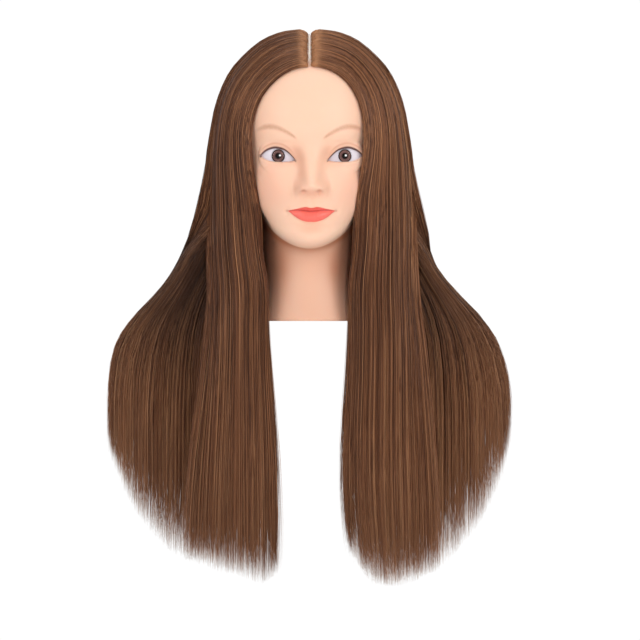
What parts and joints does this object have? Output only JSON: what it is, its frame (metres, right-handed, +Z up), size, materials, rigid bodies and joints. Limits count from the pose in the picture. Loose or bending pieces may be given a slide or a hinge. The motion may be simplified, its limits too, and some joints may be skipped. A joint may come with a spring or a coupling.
{
  "type": "mannequin training head",
  "caption": "Hairdressing practice head: soft vinyl face and neck on a foam core, inset eyes, long straight rooted hair with a centre parting, and a tapered neck socket for a clamp post.",
  "frame": {"origin": "centre of the flat seat at the closed end of the neck socket, where the tip of a clamp post bears; the flat underside of the neck is 72 mm below it", "axes": "+Z up through the crown, the face looks along -Y, +X is the wearer's left"},
  "size_m": [0.389, 0.2183, 0.5279],
  "materials": {
    "vinyl_skin": "satin skin-toned vinyl with painted brows, lashes and lips",
    "socket_plastic": "moulded, fine texture",
    "core_foam": "cut rigid foam",
    "root_film": "brushed-on latex",
    "eye_white": "polished",
    "eye_iris": "printed brown iris",
    "eye_cornea": "clear gloss",
    "hair": "long straight brown strands, soft sheen"
  },
  "bodies": {
    "head": {"head_shell": "vinyl_skin", "neck_socket": "socket_plastic", "foam_core": "core_foam", "root_bonding_film": "root_film", "eye_white_right": "eye_white", "eye_iris_right": "eye_iris", "eye_cornea_right": "eye_cornea", "hair_front_right_crown": "hair", "hair_back_right_crown": "hair", "eye_white_left": "eye_white", "eye_iris_left": "eye_iris", "eye_cornea_left": "eye_cornea", "hair_front_left_crown": "hair", "hair_back_left_crown": "hair"},
    "front_right_length": {"hair_front_right_length": "hair"},
    "front_left_length": {"hair_front_left_length": "hair"},
    "back_right_length": {"hair_back_right_length": "hair"},
    "back_left_length": {"hair_back_left_length": "hair"}
  },
  "joints": [
    {"name": "front_right_swing", "type": "hinge", "parent": "head", "child": "front_right_length", "pos_m": [-0.071, -0.0415, 0], "axis": [0, 1, 0], "range_deg": [-2, 30]},
    {"name": "back_right_swing", "type": "hinge", "parent": "head", "child": "back_right_length", "pos_m": [-0.084, 0.0355, -0.006], "axis": [0, 1, 0], "range_deg": [-2, 30]},
    {"name": "front_left_swing", "type": "hinge", "parent": "head", "child": "front_left_length", "pos_m": [0.071, -0.0415, 0], "axis": [0, -1, 0], "range_deg": [-2, 30]},
    {"name": "back_left_swing", "type": "hinge", "parent": "head", "child": "back_left_length", "pos_m": [0.084, 0.0355, -0.006], "axis": [0, -1, 0], "range_deg": [-2, 30]}
  ]
}
